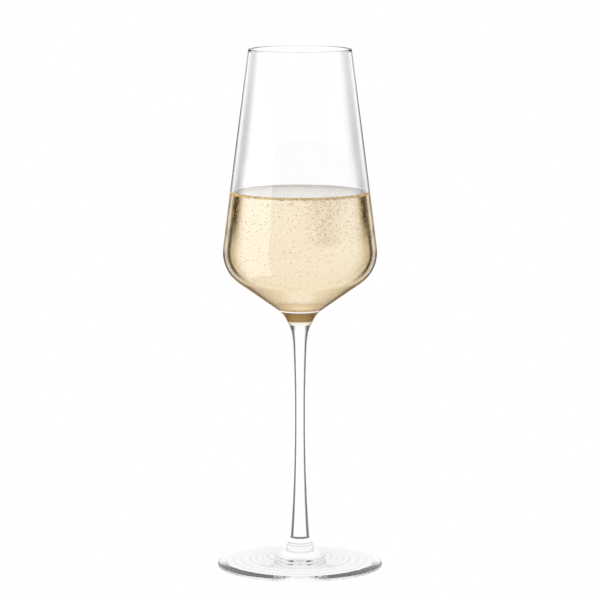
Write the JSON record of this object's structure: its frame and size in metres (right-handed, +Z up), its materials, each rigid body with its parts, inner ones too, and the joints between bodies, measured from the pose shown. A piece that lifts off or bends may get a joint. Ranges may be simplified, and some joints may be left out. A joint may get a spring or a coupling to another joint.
{
  "type": "champagne flute",
  "caption": "Tall stemmed glass with a tapering bowl, high rounded shoulder, slim drawn stem and wide disc foot, part filled with pale sparkling wine.",
  "frame": {"origin": "centre of the flat plane that the foot's bearing ring rests on", "axes": "+Z up along the stem and the bowl's axis of revolution; X and Y are any two square directions across it"},
  "size_m": [0.0764, 0.0764, 0.24],
  "materials": {
    "bowl_glass": "clear blown crystal, fire polished",
    "stem_glass": "clear drawn crystal, fire polished",
    "foot_glass": "clear spun crystal, fire polished",
    "champagne": "pale gold clear liquid with fine rising bubbles",
    "bubbles": "ring of fine gas bubbles on the liquid's edge"
  },
  "bodies": {
    "root": {"bowl": "bowl_glass", "stem": "stem_glass", "foot": "foot_glass", "champagne": "champagne", "bubble_collar": "bubbles"}
  },
  "joints": []
}
